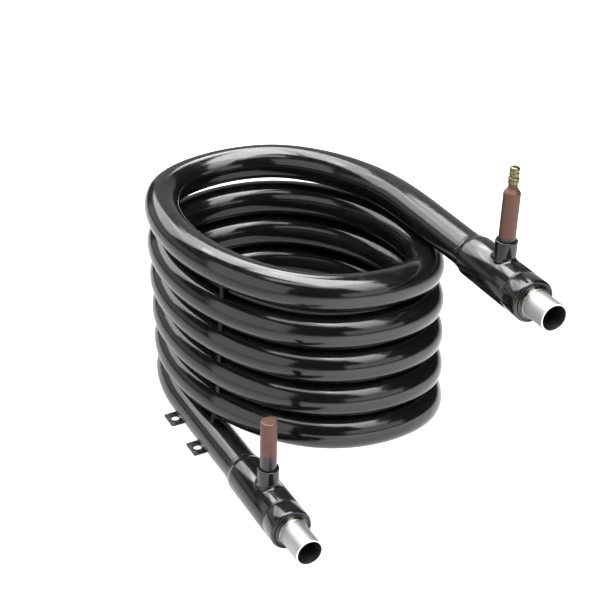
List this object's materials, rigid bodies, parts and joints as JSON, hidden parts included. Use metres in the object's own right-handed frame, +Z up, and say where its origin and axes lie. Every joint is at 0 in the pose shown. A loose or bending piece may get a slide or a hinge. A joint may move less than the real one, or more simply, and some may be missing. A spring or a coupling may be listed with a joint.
{
  "type": "coaxial heat exchanger",
  "caption": "Oval coil of black painted tube-in-tube pipe with straight ends, upright branch tees, copper stubs and an access valve.",
  "frame": {"origin": "middle of the bounding box seen from above, at the lowest point", "axes": "+Z up along the coil's axis, both straight ends point along -Y, +X to the side of the upper straight end"},
  "size_m": [0.3142, 0.5538, 0.4091],
  "materials": {
    "black_paint": "gloss",
    "bare_steel": "satin",
    "braze_metal": "satin",
    "copper": "satin, dull copper",
    "brass": "polished"
  },
  "bodies": {
    "root": {"outer_tube_upper": "black_paint", "outer_tube_lower": "black_paint", "tee_upper": "black_paint", "tee_lower": "black_paint", "end_cap_upper": "black_paint", "end_cap_lower": "black_paint", "seam_bead_upper": "black_paint", "seam_bead_lower": "black_paint", "lip_bead_upper": "black_paint", "lip_bead_lower": "black_paint", "mounting_tab_1": "black_paint", "mounting_tab_2": "black_paint", "spacer_1": "black_paint", "spacer_2": "black_paint", "spacer_3": "black_paint", "spacer_4": "black_paint", "spacer_5": "black_paint", "inner_tube": "bare_steel", "water_tube_upper": "bare_steel", "water_tube_lower": "bare_steel", "braze_ring_upper": "braze_metal", "braze_ring_lower": "braze_metal", "copper_stub_upper": "copper", "copper_stub_lower": "copper", "valve_body": "brass", "valve_pin": "brass", "valve_cap": "brass"}
  },
  "joints": []
}
